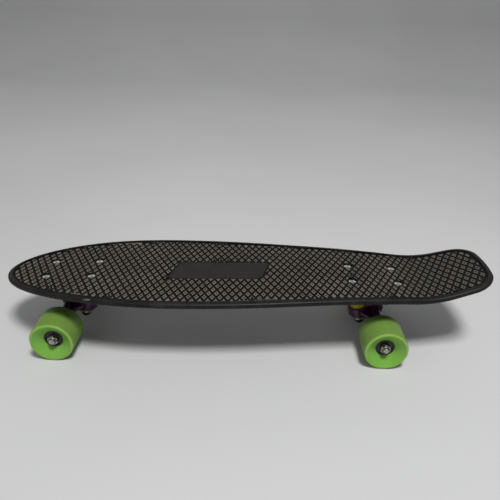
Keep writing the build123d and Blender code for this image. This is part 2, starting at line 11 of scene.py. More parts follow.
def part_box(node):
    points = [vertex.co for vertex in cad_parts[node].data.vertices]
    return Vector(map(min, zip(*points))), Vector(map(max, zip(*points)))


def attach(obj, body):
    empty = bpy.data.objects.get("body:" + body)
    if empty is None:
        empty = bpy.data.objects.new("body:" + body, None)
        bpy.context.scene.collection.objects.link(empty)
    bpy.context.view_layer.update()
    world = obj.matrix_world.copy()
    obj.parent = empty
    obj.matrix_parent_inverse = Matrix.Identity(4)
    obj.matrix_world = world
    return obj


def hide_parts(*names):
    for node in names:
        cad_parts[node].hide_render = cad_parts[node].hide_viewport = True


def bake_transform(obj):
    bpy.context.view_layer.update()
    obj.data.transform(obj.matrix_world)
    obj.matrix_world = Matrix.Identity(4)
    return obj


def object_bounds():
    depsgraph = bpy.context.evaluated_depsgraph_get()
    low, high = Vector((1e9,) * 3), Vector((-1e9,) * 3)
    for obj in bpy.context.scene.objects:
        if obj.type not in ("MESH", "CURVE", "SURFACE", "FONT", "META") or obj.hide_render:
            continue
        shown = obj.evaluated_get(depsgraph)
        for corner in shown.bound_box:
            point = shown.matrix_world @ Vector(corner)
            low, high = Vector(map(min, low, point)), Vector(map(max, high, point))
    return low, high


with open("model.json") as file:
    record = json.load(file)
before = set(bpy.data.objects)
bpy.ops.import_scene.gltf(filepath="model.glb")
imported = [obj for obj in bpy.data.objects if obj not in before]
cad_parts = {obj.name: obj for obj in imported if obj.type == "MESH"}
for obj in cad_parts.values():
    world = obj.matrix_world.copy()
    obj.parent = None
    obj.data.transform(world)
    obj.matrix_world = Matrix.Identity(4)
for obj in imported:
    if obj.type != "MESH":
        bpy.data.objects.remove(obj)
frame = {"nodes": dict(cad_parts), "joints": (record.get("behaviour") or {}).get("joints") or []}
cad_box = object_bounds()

# Camera
# The board is seen from one side and a little above, with the nose at the left and the tail at the right.
# The lens is a plain wide one, and the picture is a hair off level.
camera_place = Vector((0.00541, -0.60786, 0.45328))
camera_down = math.radians(27.81)
camera_roll = math.radians(1.54)
camera_lens = 35.6
camera_sensor = 36.0
camera_near = 0.01

camera_data = bpy.data.cameras.new("camera")
camera_data.lens = camera_lens
camera_data.sensor_width = camera_sensor
camera_data.clip_start = camera_near
camera = bpy.data.objects.new("camera", camera_data)
camera_turn = Matrix.Rotation(math.pi / 2 - camera_down, 4, "X") @ Matrix.Rotation(camera_roll, 4, "Z")
camera.matrix_world = Matrix.Translation(camera_place) @ camera_turn
bpy.context.scene.collection.objects.link(camera)
bpy.context.scene.camera = camera

# Floor and light
# A plain pale sweep of studio paper that turns up behind the board. A key lamp hangs above the viewer's side,
# a weak one fills in from the nose, and a long panel behind the board gives rim and bolts their glints.
sweep_half = 3.0
sweep_rise = 1.6
sweep_bend = 0.9
sweep_steps = 16
paper_shade = (216, 216, 216)
paper_patch = (212, 212, 212)
key_direction = Vector((0.13, -0.36, 0.92)).normalized()
key_distance = 2.2
key_size = 0.45
key_power = 34
fill_place = Vector((-1.6, -1.0, 1.1))
fill_size = 1.6
fill_power = 3
panel_place = Vector((0.0, 2.1, 1.35))
panel_width = 5.0
panel_height = 1.4
panel_power = 9
air_tone = (240, 241, 243)
air_strength = 0.2


def srgb(red, green, blue):
    """A shader colour from its 0 to 255 display values."""
    shares = [value / 255 for value in (red, green, blue)]
    linear = [c / 12.92 if c <= 0.04045 else ((c + 0.055) / 1.055) ** 2.4 for c in shares]
    return (*linear, 1.0)


class Field:
    """A number, colour or direction that changes over a surface, held by one output of a shader node."""

    def __init__(self, tree, socket=None):
        self.tree = tree
        self.socket = socket

    def make(self, kind, settings, inputs, output=0):
        """Add a node, set it up, give its inputs their values or links, and hold one of its outputs."""
        node = self.tree.nodes.new("ShaderNode" + kind)
        for name, value in settings.items():
            setattr(node, name, value)
        self.feed(node, inputs)
        return Field(self.tree, node.outputs[output])

    def feed(self, node, inputs):
        """Give a node's inputs their values or links."""
        for name, value in inputs.items():
            if isinstance(value, Field):
                self.tree.links.new(value.socket, node.inputs[name])
            else:
                node.inputs[name].default_value = value

    def math(self, operation, first, second=0.0):
        return self.make("Math", {"operation": operation}, {0: first, 1: second})

    def __add__(self, other):
        return self.math("ADD", self, other)

    def __sub__(self, other):
        return self.math("SUBTRACT", self, other)

    def __rsub__(self, other):
        return self.math("SUBTRACT", other, self)

    def __mul__(self, other):
        return self.math("MULTIPLY", self, other)

    __radd__ = __add__
    __rmul__ = __mul__

    def highest(self, other):
        return self.math("MAXIMUM", self, other)

    def step(self, low, high):
        """A soft step: 0 below low and 1 above high."""
        ends = {"Value": self, "From Min": low, "From Max": high}
        return self.make("MapRange", {"interpolation_type": "SMOOTHSTEP"}, ends)

    def blend(self, low, high):
        """The colour low where this is 0 and high where it is 1."""
        return self.make("Mix", {"data_type": "RGBA"}, {0: self, 6: low, 7: high}, output=2)

    def noise(self, scale, detail=2.0):
        """Cloudy noise over this place, with about scale lumps in a metre."""
        return self.make("TexNoise", {}, {"Vector": self, "Scale": scale, "Detail": detail})

    def stretch(self, *factors):
        """This place drawn out by a factor along each axis."""
        return self.make("VectorMath", {"operation": "MULTIPLY"}, {0: self, 1: factors})

    def part(self, axis):
        """One of this place's three coordinates."""
        return self.make("SeparateXYZ", {}, {0: self}, output=axis)

    def far(self, point):
        """The distance from a point to this place."""
        return self.make("VectorMath", {"operation": "DISTANCE"}, {0: self, 1: point}, output="Value")

    def dent(self, strength, depth):
        """A surface direction that this height pushes out by up to depth."""
        return self.make("Bump", {}, {"Strength": strength, "Distance": depth, "Height": self})


def finish_of(name, roughness, metallic=0.0):
    """A new material: its shader, and the place on the surface that its patterns read."""
    material = bpy.data.materials.new(name)
    material.use_nodes = True
    shader = material.node_tree.nodes["Principled BSDF"]
    shader.inputs["Roughness"].default_value = roughness
    shader.inputs["Metallic"].default_value = metallic
    place = Field(material.node_tree).make("TexCoord", {}, {}, output="Object")
    return material, shader, place


def piece_of(name, shape, *materials):
    """A new object that holds a finished shape, in its place."""
    mesh = bpy.data.meshes.new(name)
    shape.to_mesh(mesh)
    shape.free()
    for material in materials:
        mesh.materials.append(material)
    piece = bpy.data.objects.new(name, mesh)
    bpy.context.scene.collection.objects.link(piece)
    return piece


paper, paper_shader, paper_place = finish_of("studio_paper", 0.9)
paper_cloud = paper_place.noise(1.5).step(0.35, 0.65)
paper_place.feed(paper_shader, {"Base Color": paper_cloud.blend(srgb(*paper_shade), srgb(*paper_patch))})
sweep = bmesh.new()
bmesh.ops.create_grid(sweep, x_segments=1, y_segments=1, size=sweep_half)
back_edge = [edge for edge in sweep.edges if all(v.co.y > 0 for v in edge.verts)]
raised = bmesh.ops.extrude_edge_only(sweep, edges=back_edge)["geom"]
raised_points = [item for item in raised if isinstance(item, bmesh.types.BMVert)]
bmesh.ops.translate(sweep, verts=raised_points, vec=(0, 0, sweep_rise))
bmesh.ops.bevel(
    sweep, geom=back_edge, offset=sweep_bend, segments=sweep_steps, profile=0.5, affect="EDGES", material=-1
)
bmesh.ops.recalc_face_normals(sweep, faces=sweep.faces)
for face in sweep.faces:
    face.smooth = True
floor = piece_of("studio_floor", sweep, paper)


def hang_lamp(name, place, width, height, power):
    """A soft lamp that looks at the middle of the board."""
    data = bpy.data.lights.new(name, "AREA")
    data.shape = "RECTANGLE"
    data.size = width
    data.size_y = height
    data.energy = power
    lamp = bpy.data.objects.new(name, data)
    lamp.location = place
    lamp.rotation_euler = (-place).to_track_quat("-Z", "Y").to_euler()
    bpy.context.scene.collection.objects.link(lamp)


hang_lamp("key_lamp", key_direction * key_distance, key_size, key_size, key_power)
hang_lamp("fill_lamp", fill_place, fill_size, fill_size, fill_power)
hang_lamp("back_panel", panel_place, panel_width, panel_height, panel_power)
world = bpy.data.worlds.new("studio_air")
world.use_nodes = True
air = world.node_tree.nodes["Background"]
air.inputs["Color"].default_value = srgb(*air_tone)
air.inputs["Strength"].default_value = air_strength
bpy.context.scene.world = world
bpy.context.scene.view_settings.view_transform = "Standard"

# Deck
# One long injection moulding in charcoal polypropylene: rolled rim, sunk floor and kicked tail. The mould
# leaves a fine satin grain, and use leaves pale nicks and rubbed streaks along the rim.
deck_tone = srgb(23, 23, 24)
deck_dust = srgb(54, 52, 47)
deck_scar = srgb(176, 174, 168)
# Painted shade: the colour of the sunk floor between the waffle pads, darker than the plastic itself.
floor_shade = srgb(15, 15, 14)
rim_nicks = {
    "near_side": (Vector((-0.2020, -0.0821, 0.0978)), 0.0016),
    "tail_side": (Vector((0.2718, -0.0429, 0.102)), 0.0012),
    "tail_corner": (Vector((0.3283, -0.0198, 0.106)), 0.0015),
}
scar_run = (0.2, 1.0, 1.0)
fleck_run = (0.3, 1.0, 1.0)
streak_run = (0.12, 1.0, 1.0)
sharp_turn = math.radians(32)
same_point = 1e-6
deck_weld = 2e-5
pad_clear = 0.0002
upright_lean = 0.3
floor_lean = 0.9
facing_up = 0.5
plastic_specular = 0.2


def dress(material, *names):
    """Give a finish to pieces that keep their own shape."""
    for name in names:
        frame["nodes"][name].material_slots[0].material = material


def plastic_grain(place):
    """The satin grain that a spark-eroded mould leaves on plastic."""
    return place.noise(2600, 1.0) * 0.6 + place.noise(700, 2.0) * 0.4


def solid_of(name):
    """A copy of a piece's solid with its corners joined up."""
    solid = bmesh.new()
    solid.from_mesh(frame["nodes"][name].data)
    bmesh.ops.remove_doubles(solid, verts=solid.verts, dist=same_point)
    return solid


def floor_corners(solid):
    """The points where the deck's sunk floor meets an upright wall."""
    found = {}
    for edge in solid.edges:
        lean = sorted(face.normal.z for face in edge.link_faces)
        if len(lean) == 2 and abs(lean[0]) < upright_lean and lean[1] > floor_lean and not edge.is_convex:
            found.update(dict.fromkeys(edge.verts))
    return [point.co.copy() for point in found]


moulding = solid_of("deck")
floor_points = sorted(floor_corners(moulding), key=lambda point: point.x)
floor_edge = [Vector(floor_points[i].xy) for i in geometry.convex_hull_2d([p.xy for p in floor_points])]


def floor_height(x):
    """The level of the deck's sunk floor at a place along the board."""
    after = min(max(bisect.bisect([p.x for p in floor_points], x), 1), len(floor_points) - 1)
    low, high = floor_points[after - 1], floor_points[after]
    share = (x - low.x) / max(high.x - low.x, deck_weld)
    return low.z + (high.z - low.z) * min(max(share, 0.0), 1.0)


def outward_from(middle, here, along):
    """The direction square to a ring's run at a point, away from the ring's middle."""
    run = along.normalized()
    outward = Vector((run.y, -run.x))
    return -outward if outward.dot(here - middle) < 0 else outward


def edge_lines(ring):
    """Each side of a ring of points, as a point on it and its outward direction."""
    middle = sum(ring, Vector((0, 0))) / len(ring)
    pairs = zip(ring, ring[1:] + ring[:1])
    return [(first, outward_from(middle, first, second - first)) for first, second in pairs]


floor_sides = edge_lines(floor_edge)


def within_rim(spot):
    """Whether a place, seen from above, lies on the deck's sunk floor."""
    return all((spot.xy - start).dot(outward) < -pad_clear for start, outward in floor_sides)


def over_floor(spot):
    """Whether a place lies within the rim and higher than the deck's floor."""
    return within_rim(spot) and spot.z > floor_height(spot.x) + pad_clear


upright = [face for face in moulding.faces if abs(face.normal.z) < upright_lean]
pad_walls = [face for face in upright if over_floor(face.calc_center_median())]
bmesh.ops.delete(moulding, geom=pad_walls, context="FACES_ONLY")
for point in moulding.verts:
    if over_floor(point.co):
        point.co.z = floor_height(point.co.x)
bmesh.ops.remove_doubles(moulding, verts=moulding.verts, dist=deck_weld)
bmesh.ops.delete(moulding, geom=[edge for edge in moulding.edges if edge.is_wire], context="EDGES")
bmesh.ops.holes_fill(moulding, edges=[edge for edge in moulding.edges if edge.is_boundary])
bmesh.ops.recalc_face_normals(moulding, faces=moulding.faces)
# Faces of the sunk floor that face up are marked to take the painted shade.
shaded_floor = moulding.faces.layers.float.new("shaded_floor")
for face in moulding.faces:
    face.smooth = True
    sunk = within_rim(face.calc_center_median())
    face[shaded_floor] = 1.0 if sunk and face.normal.z > facing_up else 0.0
for edge in moulding.edges:
    edge.smooth = len(edge.link_faces) == 2 and edge.calc_face_angle() < sharp_turn

deck_plastic, deck_shader, deck_place = finish_of("charcoal_moulded_plastic", 0.42)
deck_cloud = deck_place.noise(38, 4.0).step(0.42, 0.72)
deck_streaks = deck_place.stretch(*streak_run).noise(420, 3.0).step(0.6, 0.74)
deck_scars = 0.0
for spot, reach in rim_nicks.values():
    near_spot = 1 - deck_place.stretch(*scar_run).far(spot * Vector(scar_run)).step(reach * 0.2, reach)
    flecks = deck_place.stretch(*fleck_run).noise(1400, 3.0).step(0.5, 0.56)
    deck_scars = (near_spot * flecks).highest(deck_scars)
deck_floor = deck_place.make("Attribute", {"attribute_name": "shaded_floor"}, {}, output="Fac")
deck_wear_and_floor_shade = (deck_cloud * 0.5 + deck_streaks * 0.4).blend(deck_tone, deck_dust)
# Painted shade darkens the sunk floor between the pads, a little patchy.
deck_wear_and_floor_shade = (deck_floor * (deck_cloud * 0.3 + 0.7)).blend(deck_wear_and_floor_shade, floor_shade)
deck_place.feed(deck_shader, {
    "Base Color": deck_scars.blend(deck_wear_and_floor_shade, deck_scar),
    "Roughness": deck_cloud * 0.14 + deck_streaks * 0.1 + deck_floor * 0.3 + 0.42,
    "Normal": plastic_grain(deck_place).dent(0.25, 0.0002),
})
deck_shader.inputs["Specular IOR Level"].default_value = plastic_specular
deck = piece_of("deck_moulding", moulding, deck_plastic)
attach(deck, "board")
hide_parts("deck")

# Rim bead
# A fine raised line that the mould leaves all round the top of the rim, just outside its inner edge, in the
# same plastic as the deck.
bead_out = 0.0012
bead_radius = 0.0006
bead_rise = 0.0001
bead_steps = 10
bead_stride = 0.004
rim_over_floor = 0.0024

bead_path = []
for first, second in zip(floor_edge, floor_edge[1:] + floor_edge[:1]):
    strides = math.ceil((second - first).length / bead_stride)
    bead_path += [first.lerp(second, i / strides) for i in range(strides)]
bead_middle = sum(bead_path, Vector((0, 0))) / len(bead_path)
bead = bmesh.new()
bead_rings = []
for before, here, after in zip(bead_path[-1:] + bead_path[:-1], bead_path, bead_path[1:] + bead_path[:1]):
    outward = outward_from(bead_middle, here, after - before)
    bead_ring = []
    for step in range(bead_steps):
        turn = 2 * math.pi * step / bead_steps
        spot = here + outward * (bead_out + bead_radius * math.cos(turn))
        level = floor_height(here.x) + rim_over_floor + bead_rise + bead_radius * math.sin(turn)
        bead_ring.append(bead.verts.new((*spot, level)))
    bead_rings.append(bead_ring)
for first, second in zip(bead_rings, bead_rings[1:] + bead_rings[:1]):
    for step in range(bead_steps):
        beyond = (step + 1) % bead_steps
        bead.faces.new((first[step], first[beyond], second[beyond], second[step]))
bmesh.ops.recalc_face_normals(bead, faces=bead.faces)
for face in bead.faces:
    face.smooth = True
bead_piece = piece_of("deck_rim_bead", bead, deck_plastic)
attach(bead_piece, "board")

# Waffle grip
# A field of raised diamonds moulded with the deck's floor, longer across the board than along it. Each has
# drafted sides, a rubbed flat top and a small dimple, and the field stops short of rim, bolts and plate.
pad_along = 0.01025
pad_across = 0.0182
pad_start = Vector((-0.06255, -0.0348, 0.0))
pad_groove = 0.0024
pad_height = 0.0019
pad_draft = 0.00035
pad_round = 0.0003
pad_top_ring = 0.0017
pad_dimple = 0.0009
pad_rows = 97
field_margin = 1.1
gutter = 0.0026
plate_gutter = 0.0013
bolt_ring = 0.0067
slimmest_pad = 0.0012
whole_share = 0.97
pad_sink = 0.0001
cut_snap = 1e-7
# Levels on each band of the pads: the low ones paint pad walls and dimples dark as shade, the high ones mark
# rubbed edges and tops.
wall_shade = 0.05
edge_wear = 0.8
top_wear = 0.6
dimple_wall_shade = 0.1
dimple_shade = 0.15
pad_seed = 5
waffle_top = srgb(80, 75, 66)
waffle_rub = srgb(120, 113, 101)
# Painted shade: the near-black colour of the pad walls and dimples.
waffle_wall_shade = srgb(8, 8, 8)
# Painted shade: where along the board the kicked tail's pads turn darker.
kick_shade_run = (0.19, 0.25)
plate_middle = Vector((-0.03665, -0.0013))
plate_run = Vector((0.130, 0.0)) / 2
plate_rise = Vector((0.0142, 0.0452)) / 2
plate_turn = Matrix.Rotation(math.radians(1.4), 2)
plate_signs = ((-1, -1), (1, -1), (1, 1), (-1, 1))
plate_corners = [plate_middle + plate_turn @ (plate_run * i + plate_rise * j) for i, j in plate_signs]


def keep_outside(shape, faces, point, outward):
    """Cut faces along an upright plane and keep what lies on its outward side."""
    parts = dict.fromkeys(faces)
    for face in faces:
        parts.update(dict.fromkeys((*face.edges, *face.verts)))
    bmesh.ops.bisect_plane(
        shape, geom=list(parts), plane_co=(*point, 0), plane_no=(*outward, 0), clear_inner=True, dist=cut_snap
    )


slant = Matrix(((pad_along / 2, -pad_along / 2, 0), (pad_across / 2, pad_across / 2, 0), (0, 0, 1)))
lattice = Matrix.Translation(pad_start) @ slant.to_4x4()
waffle = bmesh.new()
bmesh.ops.create_grid(waffle, x_segments=pad_rows, y_segments=pad_rows, size=pad_rows / 2, matrix=lattice)
bmesh.ops.recalc_face_normals(waffle, faces=waffle.faces)
if waffle.faces[:][0].normal.z < 0:
    bmesh.ops.reverse_faces(waffle, faces=waffle.faces)
low, high = (corner.xy * field_margin for corner in cad_box)
outside = []
for face in waffle.faces:
    middle = face.calc_center_median()
    if not (low.x < middle.x < high.x and low.y < middle.y < high.y):
        outside.append(face)
bmesh.ops.delete(waffle, geom=outside, context="FACES")
grooves = bmesh.ops.inset_individual(
    waffle, faces=waffle.faces, thickness=pad_groove / 2, use_even_offset=True
)
bmesh.ops.delete(waffle, geom=grooves["faces"], context="FACES")
for point, outward in floor_sides:
    keep_outside(waffle, waffle.faces[:], point - outward * gutter, -outward)

bolt_solid = solid_of("truck_bolts")
bolt_tops = [v.co.xy for v in bolt_solid.verts if v.co.z > floor_height(v.co.x)]
bolt_solid.free()
bolt_points = []
for top in bolt_tops:
    if all((top - other).length > 2 * bolt_ring for other in bolt_points):
        group = [t for t in bolt_tops if (t - top).length < 2 * bolt_ring]
        bolt_points.append(sum(group, Vector((0, 0))) / len(group))
for bolt in bolt_points:
    for face in waffle.faces[:]:
        away = face.calc_center_median().xy - bolt
        if away.length < 2 * pad_along:
            keep_outside(waffle, [face], bolt + away.normalized() * bolt_ring, away.normalized())
plate_lines = edge_lines(plate_corners)
for face in waffle.faces[:]:
    centre = face.calc_center_median().xy
    inside = [max((v.co.xy - p).dot(n) for p, n in plate_lines) < plate_gutter for v in face.verts]
    if any(inside):
        point, outward = max(plate_lines, key=lambda line: (centre - line[0]).dot(line[1]))
        keep_outside(waffle, [face], point + outward * plate_gutter, outward)
scraps = [face for face in waffle.faces if 2 * face.calc_area() < slimmest_pad * face.calc_perimeter()]
bmesh.ops.delete(waffle, geom=scraps, context="FACES")

wear_and_shade = waffle.faces.layers.float.new("wear_and_shade")
tone = waffle.faces.layers.float.new("tone")
draw = random.Random(pad_seed)
for face in waffle.faces:
    face[tone] = draw.random()


def raise_pads(faces, inward, up, pad_wear_and_shade):
    """Draw faces in and lift them, and mark the slope left behind with a level: low for painted shade, high
    for rubbed wear.
    """
    slopes = bmesh.ops.inset_individual(waffle, faces=faces, thickness=inward, depth=up, use_even_offset=True)
    for slope in slopes["faces"]:
        slope[wear_and_shade] = pad_wear_and_shade


pads = waffle.faces[:]
whole_area = whole_share * max(face.calc_area() for face in pads)
whole_pads = [face for face in pads if face.calc_area() > whole_area]
raise_pads(pads, pad_draft, pad_height - pad_round, wall_shade)
raise_pads(pads, pad_round, pad_round, edge_wear)
for pad in pads:
    pad[wear_and_shade] = top_wear
raise_pads(whole_pads, pad_top_ring, 0.0, top_wear)
raise_pads(whole_pads, pad_draft, -pad_dimple, dimple_wall_shade)
for pad in whole_pads:
    pad[wear_and_shade] = dimple_shade
bmesh.ops.holes_fill(waffle, edges=[edge for edge in waffle.edges if edge.is_boundary])
bmesh.ops.recalc_face_normals(waffle, faces=waffle.faces)
for point in waffle.verts:
    point.co.z += floor_height(point.co.x) - pad_sink

waffle_plastic, waffle_shader, waffle_place = finish_of("rubbed_waffle_plastic", 0.5)
pad_wear_and_shade = waffle_place.make("Attribute", {"attribute_name": "wear_and_shade"}, {}, output="Fac")
pad_tone = waffle_place.make("Attribute", {"attribute_name": "tone"}, {}, output="Fac")
waffle_cloud = waffle_place.noise(16, 4.0).step(0.3, 0.7)
waffle_speck = waffle_place.noise(1500, 2.0).step(0.45, 0.7)
# Painted shade: the pads on the kicked-up tail are drawn darker, on top of their random marks.
waffle_kick_shade = waffle_place.part("X").step(*kick_shade_run)
waffle_marks_and_kick_shade = (pad_tone * 0.35 + waffle_cloud * 0.35 + waffle_speck * 0.3) * (1 - waffle_kick_shade * 0.7)
waffle_rub_and_kick_shade = waffle_marks_and_kick_shade.blend(waffle_top, waffle_rub)
# Pad walls and dimples take the near-black painted shade; rubbed tops and edges take the pale dusty tone.
waffle_place.feed(waffle_shader, {
    "Base Color": pad_wear_and_shade.step(0.1, 0.65).blend(waffle_wall_shade, waffle_rub_and_kick_shade),
    "Roughness": waffle_cloud * 0.1 + pad_tone * 0.12 + 0.42,
    "Normal": plastic_grain(waffle_place).dent(0.3, 0.0002),
})
waffle_shader.inputs["Specular IOR Level"].default_value = plastic_specular
waffle_piece = piece_of("deck_waffle", waffle, waffle_plastic)
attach(waffle_piece, "board")

# Bare plate
# A smooth slanted panel with a thin raised edge, moulded into the middle of the waffle. Nothing is cut
# into it.
plate_corner_cut = 0.007
plate_height = 0.0016
plate_edge = 0.0011
plate_step = 0.0004
plate_corner_steps = 5
plate_tone = srgb(28, 27, 25)
plate_pale = srgb(41, 40, 36)

plate = bmesh.new()
plate_ring = [plate.verts.new((*corner, floor_height(corner.x) - pad_sink)) for corner in plate_corners]
plate.faces.new(plate_ring)
bmesh.ops.bevel(
    plate,
    geom=plate_ring,
    offset=plate_corner_cut,
    segments=plate_corner_steps,
    profile=0.5,
    affect="VERTICES",
    material=-1,
)
bmesh.ops.recalc_face_normals(plate, faces=plate.faces)
plate_top = plate.faces[:]
if plate_top[0].normal.z < 0:
    bmesh.ops.reverse_faces(plate, faces=plate_top)
plate_rises = [
    (pad_draft, plate_height),
    (pad_round, pad_round),
    (plate_edge, 0.0),
    (plate_step, -plate_step),
]
for inward, up in plate_rises:
    bmesh.ops.inset_individual(plate, faces=plate_top, thickness=inward, depth=up, use_even_offset=True)
bmesh.ops.holes_fill(plate, edges=[edge for edge in plate.edges if edge.is_boundary])
bmesh.ops.recalc_face_normals(plate, faces=plate.faces)
plate_plastic, plate_shader, plate_place = finish_of("smooth_plate_plastic", 0.5)
plate_cloud = plate_place.noise(45, 4.0).step(0.35, 0.7)
plate_place.feed(plate_shader, {
    "Base Color": plate_cloud.blend(plate_tone, plate_pale),
    "Roughness": plate_cloud * 0.15 + 0.5,
    "Normal": plastic_grain(plate_place).dent(0.2, 0.0002),
})
plate_shader.inputs["Specular IOR Level"].default_value = plastic_specular
plate_piece = piece_of("deck_bare_plate", plate, plate_plastic)
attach(plate_piece, "board")

# Truck bolts, locknuts and other plated steel
# Zinc-plated steel: bright, with a fine brushed grain, faint clouds in the plating and dull dirt in
# places. The bolts go down through the deck and the baseplates, and the rest hold trucks and wheels.
zinc_bright = srgb(196, 195, 190)
zinc_dull = srgb(142, 139, 132)
bolt_bright = srgb(236, 234, 228)
bolt_dull = srgb(204, 201, 194)

plated_steel, steel_shader, steel_place = finish_of("zinc_plated_steel", 0.3, 1.0)
steel_cloud = steel_place.noise(260, 4.0).step(0.35, 0.7)
steel_grain = steel_place.stretch(1.0, 0.2, 1.0).noise(3200, 2.0)
steel_place.feed(steel_shader, {
    "Base Color": steel_cloud.blend(zinc_bright, zinc_dull),
    "Roughness": steel_cloud * 0.18 + steel_grain * 0.12 + 0.2,
    "Normal": steel_grain.dent(0.15, 0.0001),
})
dress(plated_steel, "truck_bolt_nuts")
ends = ("front", "rear")
sides = ("left", "right")
for end in ends:
    for hardware in ("cup_washers", "axle", "speed_washers"):
        dress(plated_steel, f"{end}_{hardware}")

bolt_steel, bolt_shader, bolt_place = finish_of("polished_bolt_steel", 0.2, 1.0)
bolt_cloud = bolt_place.noise(500, 4.0).step(0.4, 0.7)
bolt_place.feed(bolt_shader, {
    "Base Color": bolt_cloud.blend(bolt_bright, bolt_dull),
    "Roughness": bolt_cloud * 0.1 + 0.18,
})
dress(bolt_steel, "truck_bolts")

# Kingpins and their locknuts
# Dark-coloured steel bolts that run from each baseplate down through washers, bushings and ring, each held
# by a locknut. They are oily dark, with a little brown in patches.
black_tone = srgb(44, 42, 40)
black_brown_patch = srgb(78, 72, 66)

# A plain dark steel colour for kingpins and their nuts.
black_steel, black_shader, black_place = finish_of("dark_kingpin_steel", 0.34, 0.8)
black_cloud = black_place.noise(320, 4.0).step(0.4, 0.75)
black_place.feed(black_shader, {
    "Base Color": black_cloud.blend(black_tone, black_brown_patch),
    "Roughness": black_cloud * 0.16 + 0.28,
})
for end in ends:
    dress(black_steel, f"{end}_kingpin", f"{end}_kingpin_nut")

# Axle locknuts
# Zinc-plated hexagons with chamfered corners and a rolled collar that grips a dark nylon ring, screwed on
# the axle's ends against the outer washers.
nut_half = 0.00635
nut_chamfer = 0.0009
nut_collar = 0.0056
nut_roll = 0.0008
nut_mouth = 0.0047
nut_bore = 0.0041
nut_neck = 0.3
nut_ease = 0.3
nut_lap = 0.4
nut_turns = 48
hex_rows = 4
nylon_rows = (8, 9)
nylon_tone = srgb(14, 14, 15)
nylon_pale = srgb(26, 26, 28)

nylon, nylon_shader, nylon_place = finish_of("dark_locking_nylon", 0.5)
nylon_place.feed(nylon_shader, {
    "Base Color": nylon_place.noise(600, 2.0).blend(nylon_tone, nylon_pale),
})


def axle_locknut(shape, seat, face, middle):
    """A locknut about an axle along Y, from its seat to the face of its collar."""
    run = 1 if face > seat else -1
    neck = face - run * abs(face - seat) * nut_neck
    corner = nut_half / math.cos(math.pi / 6)
    rows = [
        (corner - nut_chamfer, seat),
        (corner, seat + run * nut_chamfer / 2),
        (corner, neck - run * nut_chamfer / 2),
        (corner - nut_chamfer, neck),
        (nut_collar, neck),
        (nut_collar, face - run * nut_roll),
        (nut_collar - nut_roll * nut_ease, face - run * nut_roll * nut_ease),
        ((nut_collar + nut_mouth) / 2, face),
        (nut_mouth, face - run * nut_roll * nut_lap),
        (nut_mouth, face - run * nut_roll),
        (nut_bore, face - run * nut_roll),
        (nut_bore, seat),
    ]
    rings = []
    for row, (radius, level) in enumerate(rows):
        ring = []
        for i in range(nut_turns):
            turn = 2 * math.pi * i / nut_turns
            flat = nut_half / math.cos((turn + math.pi / 6) % (math.pi / 3) - math.pi / 6)
            reach = min(radius, flat) if row < hex_rows else radius
            spot = (middle.x + reach * math.cos(turn), level, middle.z + reach * math.sin(turn))
            ring.append(shape.verts.new(spot))
        rings.append(ring)
    for row, (first, second) in enumerate(zip(rings, rings[1:] + rings[:1])):
        for i in range(nut_turns):
            beyond = (i + 1) % nut_turns
            side = shape.faces.new((first[i], first[beyond], second[beyond], second[i]))
            side.material_index = 1 if row in nylon_rows else 0


for end in ends:
    axle_low, axle_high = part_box(f"{end}_axle")
    nuts_low, nuts_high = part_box(f"{end}_axle_nuts")
    seats_low, seats_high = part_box(f"{end}_speed_washers")
    nuts = bmesh.new()
    axle_locknut(nuts, seats_high.y, nuts_high.y, (axle_low + axle_high) / 2)
    axle_locknut(nuts, seats_low.y, nuts_low.y, (axle_low + axle_high) / 2)
    bmesh.ops.recalc_face_normals(nuts, faces=nuts.faces)
    nut_piece = piece_of(f"{end}_axle_locknuts", nuts, plated_steel, nylon)
    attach(nut_piece, f"{end}_truck")
    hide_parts(f"{end}_axle_nuts")

# Baseplates and hangers
# Gravity-cast aluminium under a deep purple coat. The coat has a soft orange-peel skin and wears thin
# and paler where it rubs.
coat_deep = srgb(62, 34, 62)
coat_pale = srgb(88, 50, 92)

purple_coat, coat_shader, coat_place = finish_of("purple_truck_coat", 0.32)
coat_cloud = coat_place.noise(90, 4.0).step(0.3, 0.75)
coat_peel = coat_place.noise(800, 1.0)
coat_place.feed(coat_shader, {
    "Base Color": coat_cloud.blend(coat_deep, coat_pale),
    "Roughness": coat_cloud * 0.14 + 0.26,
    "Metallic": coat_cloud * 0.15 + 0.15,
    "Normal": coat_peel.dent(0.25, 0.0004),
})
for end in ends:
    dress(purple_coat, f"{end}_baseplate", f"{end}_hanger")

# Pivot cups
# A black urethane thimble pressed into each baseplate, in which the hanger's pivot turns.
cup_tone = srgb(22, 22, 22)
cup_pale = srgb(40, 39, 38)

cup_urethane, cup_shader, cup_place = finish_of("black_cup_urethane", 0.45)
cup_cloud = cup_place.noise(300, 3.0)
cup_place.feed(cup_shader, {
    "Base Color": cup_cloud.blend(cup_tone, cup_pale),
    "Roughness": cup_cloud * 0.2 + 0.35,
})
dress(cup_urethane, *[f"{end}_pivot_cup" for end in ends])

# Bushings
# Poured yellow urethane barrels and cones on the kingpin, one each side of the hanger's ring. They are soft.
kingpin_lean = math.radians(12)
bushing_bore = 0.0049
bushing_radius = 0.0112
bushing_belly = 0.0005
bushing_tip = 0.0088
bushing_edge = 0.0012
ring_seat = 0.00375
barrel_top = 0.01925
cone_bottom = 0.01275
bushing_steps = 72
bushing_edge_steps = 5
bushing_side_steps = 8
bushing_yellow = srgb(190, 173, 36)
bushing_worn = srgb(166, 149, 30)
bushing_glow = 0.25
bushing_glow_depth = (0.004, 0.003, 0.001)

bushing_urethane, bushing_shader, bushing_place = finish_of("yellow_bushing_urethane", 0.35)
bushing_cloud = bushing_place.noise(240, 4.0).step(0.3, 0.75)
bushing_place.feed(bushing_shader, {
    "Base Color": bushing_cloud.blend(bushing_yellow, bushing_worn),
    "Roughness": bushing_cloud * 0.2 + 0.28,
    "Normal": bushing_place.noise(900, 2.0).dent(0.15, 0.0002),
})
bushing_shader.inputs["Subsurface Weight"].default_value = bushing_glow
bushing_shader.inputs["Subsurface Radius"].default_value = bushing_glow_depth


